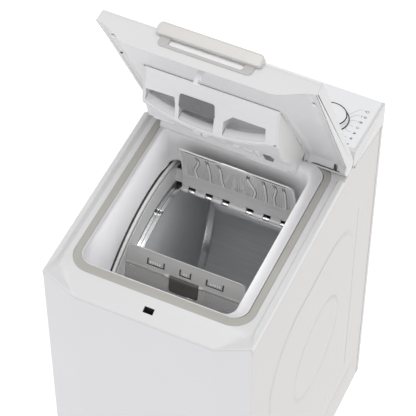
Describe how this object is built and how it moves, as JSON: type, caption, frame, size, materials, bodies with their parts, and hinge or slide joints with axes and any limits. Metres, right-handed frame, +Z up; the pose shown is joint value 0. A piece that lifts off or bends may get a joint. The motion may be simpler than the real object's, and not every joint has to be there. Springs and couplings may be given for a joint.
{
  "type": "top load washing machine",
  "caption": "Slim top-loading washing machine with a sideways drum, two open drum flaps, and a hinged lid that carries the detergent tray.",
  "frame": {"origin": "centre of the bounding box at floor level, under the levelling feet", "axes": "+Z up, front with the lid handle towards -Y, +X to the right seen from the front"},
  "size_m": [0.4, 0.634, 1.316],
  "materials": {
    "white_paint": "smooth gloss powder coat",
    "galvanised": "galvanised sheet",
    "white_plastic": "fine satin moulding",
    "liner_plastic": "satin moulding",
    "facia_white": "bright white satin",
    "seal_grey": "light grey rubber",
    "dark_rubber": "black rubber",
    "dark_plastic": "dark grey moulding",
    "softener_grey": "smoky grey moulding",
    "handle_grey": "warm metallic grey satin",
    "stainless": "fine brushed stainless",
    "bright_steel": "polished",
    "spring_steel": "drawn wire",
    "tub_plastic": "glass-filled moulding",
    "ballast": "rough cast",
    "motor_metal": "painted housing",
    "flap_steel": "bright pressed stainless",
    "flap_steel_dark": "pressed stainless",
    "alloy": "cast alloy",
    "board_green": "coated board",
    "valve_plastic": "moulded plastic"
  },
  "bodies": {
    "cabinet": {"base_pan": "galvanised", "levelling_feet": "dark_plastic", "front_panel": "white_paint", "side_panel_left": "white_paint", "side_panel_right": "white_paint", "rear_panel": "galvanised", "kick_plate": "white_plastic", "drain_pump": "tub_plastic", "top_deck": "white_plastic", "deck_gasket": "seal_grey", "loading_funnel": "liner_plastic", "tub_bellows": "dark_rubber", "lid_lock_housing": "dark_plastic", "hinge_brackets": "galvanised", "lid_hinge_pins": "bright_steel", "console_housing": "white_plastic", "console_facia": "facia_white", "control_board": "board_green", "inlet_valve": "valve_plastic", "drain_spigot": "dark_plastic", "mains_gland": "dark_rubber", "transit_caps": "white_plastic", "panel_screws": "bright_steel", "suspension_springs": "spring_steel", "tub_shell": "tub_plastic", "tub_end_left": "tub_plastic", "tub_end_right": "tub_plastic", "drum_bearings": "bright_steel", "shaft_seals": "dark_rubber", "counterweights": "ballast", "motor_body": "motor_metal", "drive_belt": "dark_rubber", "heating_element": "bright_steel", "sump_hose": "dark_rubber"},
    "filter_door": {"filter_door": "white_plastic"},
    "filter_cap": {"filter_cap": "dark_plastic"},
    "pump_impeller": {"pump_impeller": "dark_plastic"},
    "lid_lock_bolt": {"lid_lock_bolt": "bright_steel"},
    "program_knob": {"program_knob": "facia_white"},
    "start_button": {"start_button": "facia_white"},
    "option_button": {"option_button": "facia_white"},
    "lid": {"lid_outer": "white_plastic", "lid_liner": "liner_plastic", "lid_handle": "handle_grey", "handle_bezel": "handle_grey", "latch_hook": "white_plastic", "lid_buffers": "seal_grey", "lid_screws": "dark_plastic"},
    "dispenser": {"dispenser_tray": "liner_plastic"},
    "softener_cap": {"softener_cap": "softener_grey"},
    "motor_rotor": {"motor_rotor": "bright_steel"},
    "drum": {"drum_shell": "stainless", "drum_end_plates": "stainless", "drum_shafts": "bright_steel", "drum_pulley": "alloy", "drum_lifters": "stainless", "flap_hinge_rods": "bright_steel"},
    "front_flap": {"front_flap": "flap_steel_dark"},
    "rear_flap": {"rear_flap": "flap_steel"},
    "flap_button": {"flap_button": "dark_plastic"}
  },
  "joints": [
    {"name": "lid_hinge", "type": "hinge", "parent": "cabinet", "child": "lid", "pos_m": [0, 0.127, 0.9075], "axis": [-1, 0, 0], "range_deg": [-64.8, 20]},
    {"name": "dispenser_release", "type": "slide", "parent": "lid", "child": "dispenser", "axis": [0, -0.9048, -0.4258], "range_m": [0, 0.03]},
    {"name": "softener_cap_release", "type": "slide", "parent": "dispenser", "child": "softener_cap", "axis": [0, -0.9829, 0.184], "range_m": [0, 0.015]},
    {"name": "lid_lock_bolt_slide", "type": "slide", "parent": "cabinet", "child": "lid_lock_bolt", "axis": [-1, 0, 0], "range_m": [0, 0.008]},
    {"name": "program_knob_turn", "type": "hinge", "parent": "cabinet", "child": "program_knob", "pos_m": [0.123, 0.212, 0.9178], "axis": [0, 0.1191, 0.9929], "continuous": true},
    {"name": "start_button_press", "type": "slide", "parent": "cabinet", "child": "start_button", "axis": [0, -0.1191, -0.9929], "range_m": [0, 0.002], "stiffness_N_per_m": 600, "springref_m": -0.001},
    {"name": "option_button_press", "type": "slide", "parent": "cabinet", "child": "option_button", "axis": [0, -0.1191, -0.9929], "range_m": [0, 0.002], "stiffness_N_per_m": 600, "springref_m": -0.001},
    {"name": "drum_spin", "type": "hinge", "parent": "cabinet", "child": "drum", "pos_m": [0, 0.02, 0.485], "axis": [1, 0, 0], "range_deg": [0, 8]},
    {"name": "motor_spin", "type": "hinge", "parent": "cabinet", "child": "motor_rotor", "pos_m": [0, 0.15, 0.135], "axis": [1, 0, 0], "range_deg": [0, 94.55]},
    {"name": "front_flap_hinge", "type": "hinge", "parent": "drum", "child": "front_flap", "pos_m": [0, -0.14214, 0.66195], "axis": [1, 0, 0], "range_deg": [-58.5, 0]},
    {"name": "rear_flap_hinge", "type": "hinge", "parent": "drum", "child": "rear_flap", "pos_m": [0, 0.09932, 0.71151], "axis": [-1, 0, 0], "range_deg": [-79.6, 0]},
    {"name": "flap_button_press", "type": "slide", "parent": "front_flap", "child": "flap_button", "axis": [0, 0.9848, -0.1736], "range_m": [0, 0.004], "stiffness_N_per_m": 800, "springref_m": -0.002},
    {"name": "pump_spin", "type": "hinge", "parent": "cabinet", "child": "pump_impeller", "pos_m": [0.075, -0.2, 0.085], "axis": [0, 1, 0], "continuous": true},
    {"name": "filter_door_hinge", "type": "hinge", "parent": "cabinet", "child": "filter_door", "pos_m": [0.075, -0.3124, 0.048], "axis": [1, 0, 0], "range_deg": [0, 85]},
    {"name": "filter_cap_turn", "type": "hinge", "parent": "cabinet", "child": "filter_cap", "pos_m": [0.075, -0.28, 0.085], "axis": [0, 1, 0], "range_deg": [0, 90]}
  ],
  "couplings": [
    {"joint": "motor_spin", "follows": "drum_spin", "ratio": 11.818}
  ]
}
